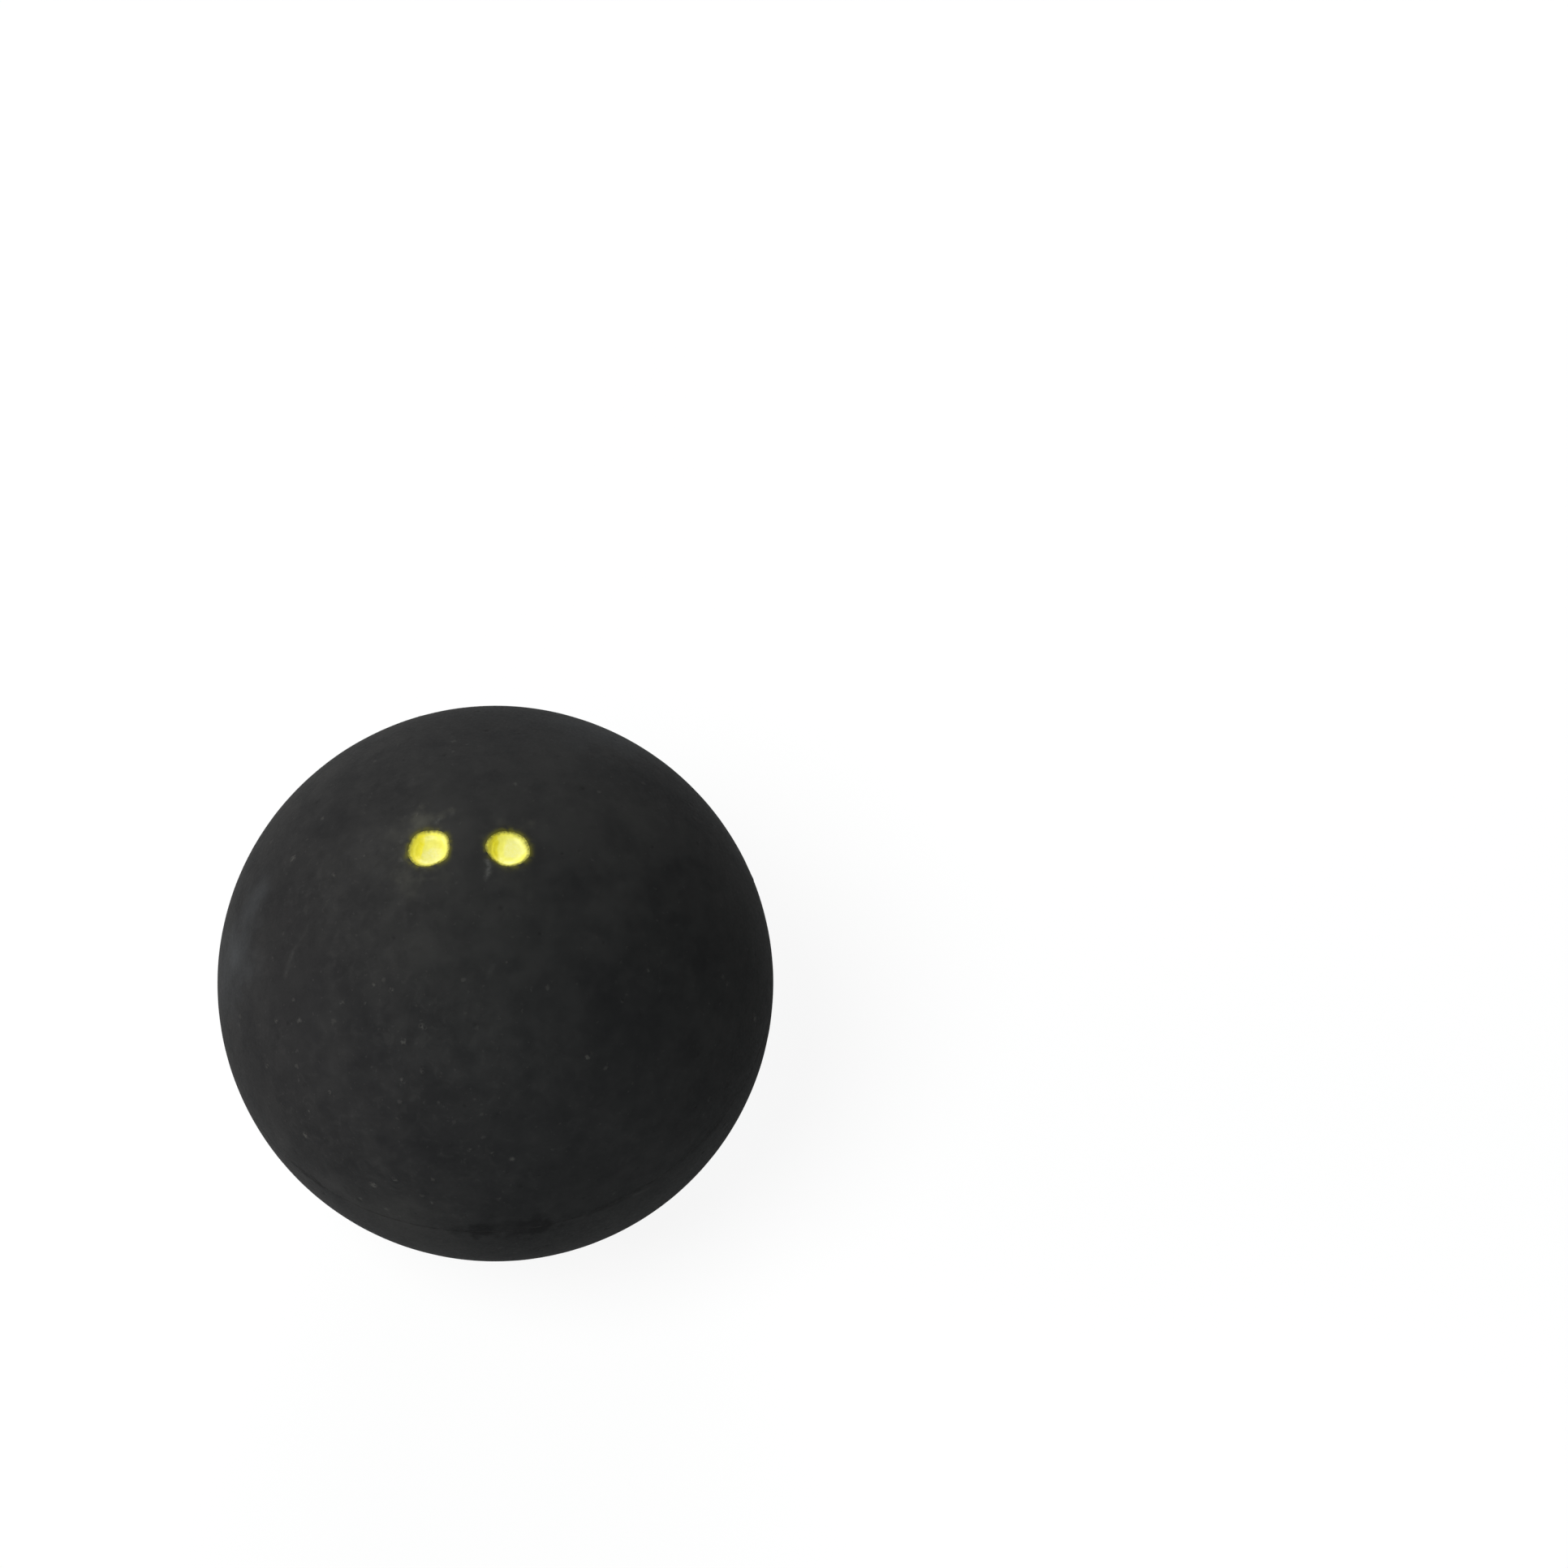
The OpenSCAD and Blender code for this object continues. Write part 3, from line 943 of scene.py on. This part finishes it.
    # cement smeared along the seam, darker and duller than the rubber
    smear = m.math("MULTIPLY", m.value("stain"), m.remap(clumps, 0.3, 0.6, 0.7, 1.0))
    colour = m.mix(m.math("MULTIPLY", smear, 0.80), colour, (0.0050, 0.0050, 0.0052, 1))
    m.join(colour, m.shader.inputs["Base Color"])
    rough = m.math("ADD", m.remap(patch, 0.3, 0.7, 0.70, 0.80), m.remap(grain, 0.3, 0.7, -0.05, 0.05))
    rough = m.math("ADD", rough, m.math("MULTIPLY", smear, 0.14))
    rough = m.math("SUBTRACT", rough, m.math("MULTIPLY", bloom_highlight_mask, 0.10))
    m.join(rough, m.shader.inputs["Roughness"])
    m.shader.inputs["Specular IOR Level"].default_value = 0.05
    fine = m.math("ADD", m.math("MULTIPLY", m.noise(6.5, 2.0, 0.5, seed + 21), 0.3), m.math("MULTIPLY", m.noise(1.8, 3.0, 0.5, seed + 25), 0.9))
    fine = m.math("ADD", fine, m.math("MULTIPLY", m.math("ADD", specks, grains), 0.35))
    fine = m.math("ADD", fine, m.math("MULTIPLY", m.math("MULTIPLY", lace, strong), 0.4))
    m.join(m.bump(fine, 0.012), m.shader.inputs["Normal"])
    return m.material


def cement_material(name):
    m = Nodes(name)
    tone = m.noise(1.3, 4.0, 0.6, 4.0)
    colour = m.mix(m.remap(tone, 0.35, 0.65), (0.0050, 0.0048, 0.0046, 1), (0.0135, 0.0130, 0.0125, 1))
    m.join(colour, m.shader.inputs["Base Color"])
    m.join(m.remap(m.noise(3.0, 3.0, 0.6, 8.0), 0.3, 0.7, 0.62, 0.80), m.shader.inputs["Roughness"])
    m.shader.inputs["Specular IOR Level"].default_value = 0.08
    m.join(m.bump(m.noise(4.0, 3.0, 0.6, 12.0), 0.012), m.shader.inputs["Normal"])
    return m.material


def paint_material(name, seed, pale=1.0, blue=1.0):
    m = Nodes(name)
    broad = m.noise(0.9, 3.0, 0.55, seed)
    fine = m.noise(6.0, 3.0, 0.6, seed + 4)
    colour = m.mix(m.remap(broad, 0.3, 0.7), (0.84 * pale, 0.785 * pale, 0.120 * blue, 1), (0.89 * pale, 0.84 * pale, 0.17 * blue, 1))
    colour = m.mix(m.remap(fine, 0.35, 0.75, 0.0, 0.30), colour, (0.905 * pale, 0.86 * pale, 0.235 * blue, 1))
    # painted highlight: whiter yellow where the well is lit
    colour = m.mix(m.math("MULTIPLY", m.value("painted_highlight"), m.remap(fine, 0.3, 0.7, 0.28, 0.52)), colour, (0.885 * pale, 0.845 * pale, 0.49 * blue, 1))
    # painted shade: deeper yellow on the well's shaded side and wall, and the rubber shows through at the paint's edge
    colour = m.mix(m.math("MULTIPLY", m.value("painted_shade"), m.remap(fine, 0.3, 0.7, 0.8, 1.0)), colour, (0.86, 0.75, 0.022, 1))
    colour = m.mix(m.math("MULTIPLY", m.value("worn"), m.remap(fine, 0.3, 0.65, 0.65, 0.95)), colour, (0.13, 0.12, 0.012, 1))
    m.join(colour, m.shader.inputs["Base Color"])
    rough = m.remap(m.noise(2.2, 3.0, 0.6, seed + 8), 0.3, 0.7, 0.36, 0.52)
    m.join(m.math("ADD", rough, m.math("MULTIPLY", m.value("worn"), 0.38), True), m.shader.inputs["Roughness"])
    m.shader.inputs["Specular IOR Level"].default_value = 0.4
    height = m.math("ADD", m.math("MULTIPLY", m.noise(2.6, 3.0, 0.55, seed + 12), 1.0), m.math("MULTIPLY", fine, 0.35))
    m.join(m.bump(height, 0.02), m.shader.inputs["Normal"])
    return m.material


def floor_material():
    m = Nodes("floor")
    tone = m.noise(0.02, 3.0, 0.5, 1.0)
    m.join(m.mix(m.remap(tone, 0.3, 0.7), (0.59, 0.59, 0.59, 1), (0.61, 0.61, 0.61, 1)), m.shader.inputs["Base Color"])
    m.shader.inputs["Roughness"].default_value = 0.9
    m.shader.inputs["Specular IOR Level"].default_value = 0.1
    # the floor shows as an overexposed white sweep: nearly all of it is plain
    # white, with a faint shadow near the ball, and none further away
    flat = m.add("ShaderNodeVectorMath", operation="MULTIPLY")
    m.join(m.place, flat.inputs[0])
    flat.inputs[1].default_value = (1, 1, 0)
    away = m.add("ShaderNodeVectorMath", operation="LENGTH")
    m.join(flat.outputs[0], away.inputs[0])
    glow = m.add("ShaderNodeEmission")
    glow.inputs["Color"].default_value = (1, 1, 1, 1)
    glow.inputs["Strength"].default_value = 1.07
    seen = m.add("ShaderNodeLightPath").outputs["Is Camera Ray"]
    blend = m.add("ShaderNodeMixShader")
    m.join(m.math("MULTIPLY", seen, m.remap(away.outputs["Value"], 90, 260, 0.84, 1.0)), blend.inputs[0])
    m.join(m.shader.outputs["BSDF"], blend.inputs[1])
    m.join(glow.outputs[0], blend.inputs[2])
    out = [n for n in m.tree.nodes if n.type == "OUTPUT_MATERIAL"][0]
    m.join(blend.outputs[0], out.inputs["Surface"])
    return m.material


# ------------------------------------------------------------ stage, lights
def aim(obj, towards=(0, 0, 0)):
    obj.rotation_mode = "QUATERNION"
    obj.rotation_quaternion = (Vector(towards) - obj.location).to_track_quat("-Z", "Y")


def area_light(name, place, size, watts, colour=(1, 1, 1)):
    data = bpy.data.lights.new(name, "AREA")
    data.shape = "DISK"
    data.size = size
    data.energy = watts
    data.color = colour
    obj = bpy.data.objects.new(name, data)
    obj.location = place
    obj.visible_camera = False
    bpy.context.collection.objects.link(obj)
    aim(obj)
    return obj


def make_stage():
    mesh = bpy.data.meshes.new("floor")
    n, half = 24, 6.0
    grid = np.linspace(-half, half, n + 1)
    points = [(x, y, -BALL_R * MM) for y in grid for x in grid]
    faces = [(j * (n + 1) + i, j * (n + 1) + i + 1, (j + 1) * (n + 1) + i + 1, (j + 1) * (n + 1) + i) for j in range(n) for i in range(n)]
    mesh.from_pydata(points, [], faces)
    mesh.materials.append(floor_material())
    floor = bpy.data.objects.new("floor", mesh)
    bpy.context.collection.objects.link(floor)
    world = bpy.data.worlds.new("studio")
    bpy.context.scene.world = world
    world.use_nodes = True
    tree = world.node_tree
    dim = tree.nodes["Background"]
    dim.inputs["Color"].default_value = (0.93, 1, 1, 1)
    dim.inputs["Strength"].default_value = 0.04
    white = tree.nodes.new("ShaderNodeBackground")
    white.inputs["Color"].default_value = (1, 1, 1, 1)
    white.inputs["Strength"].default_value = 1.0
    path = tree.nodes.new("ShaderNodeLightPath")
    mix = tree.nodes.new("ShaderNodeMixShader")
    tree.links.new(path.outputs["Is Camera Ray"], mix.inputs[0])
    tree.links.new(dim.outputs[0], mix.inputs[1])
    tree.links.new(white.outputs[0], mix.inputs[2])
    tree.links.new(mix.outputs[0], tree.nodes["World Output"].inputs["Surface"])


def sky_place(around, above, far=3.0):
    return Vector(place_on_ball(around, above)) * far


def make_lights():
    area_light("key", sky_place(225, 65), 1.65, 81.0, (0.965, 1.0, 0.985))
    area_light("left", sky_place(180, 5), 1.65, 104.0, (1.0, 0.945, 0.935))
    area_light("back", sky_place(90, 20), 1.65, 56.5, (0.985, 0.985, 1.0))
    area_light("front", sky_place(270, 5), 1.65, 33.0, (0.90, 0.95, 1.0))


def set_view():
    view = bpy.context.scene.view_settings
    view.view_transform = "Standard"
    view.look = "None"
    view.exposure = 0.0
    view.gamma = 1.0


# -------------------------------------------------------------------- build
make_camera()
set_view()

upper_marks, lower_marks = Marks(5, True), Marks(6, False)

rubber_top = rubber_material("rubber_marked_half", 2.0)
rubber_low = rubber_material("rubber_plain_half", 41.0)
cement = cement_material("cured_cement")
paint_a = paint_material("dot_paint_a", 3.0, 0.855, 0.80)
paint_b = paint_material("dot_paint_b", 27.0, 1.07, 1.02)

upper = build_half("marked_half_detail", True, upper_marks, rubber_top)
lower = build_half("plain_half_detail", False, lower_marks, rubber_low)
ring = build_cement("seam_cement_detail", cement)
left = build_paint("dot_paint_left_detail", DOTS[0], paint_a)
right = build_paint("dot_paint_right_detail", DOTS[1], paint_b)

for piece, node, slot in (
    (upper, "marked_half_shell", "black_rubber"),
    (lower, "plain_half_shell", "black_rubber"),
    (ring, "seam_cement", "cured_cement"),
    (left, "dot_paint_left", "dot_paint"),
    (right, "dot_paint_right", "dot_paint"),
):
    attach(piece, "root")
    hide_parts(node)
    print(piece.name, len(piece.data.vertices), "points", sum(len(p.vertices) - 2 for p in piece.data.polygons), "triangles")

make_stage()
make_lights()
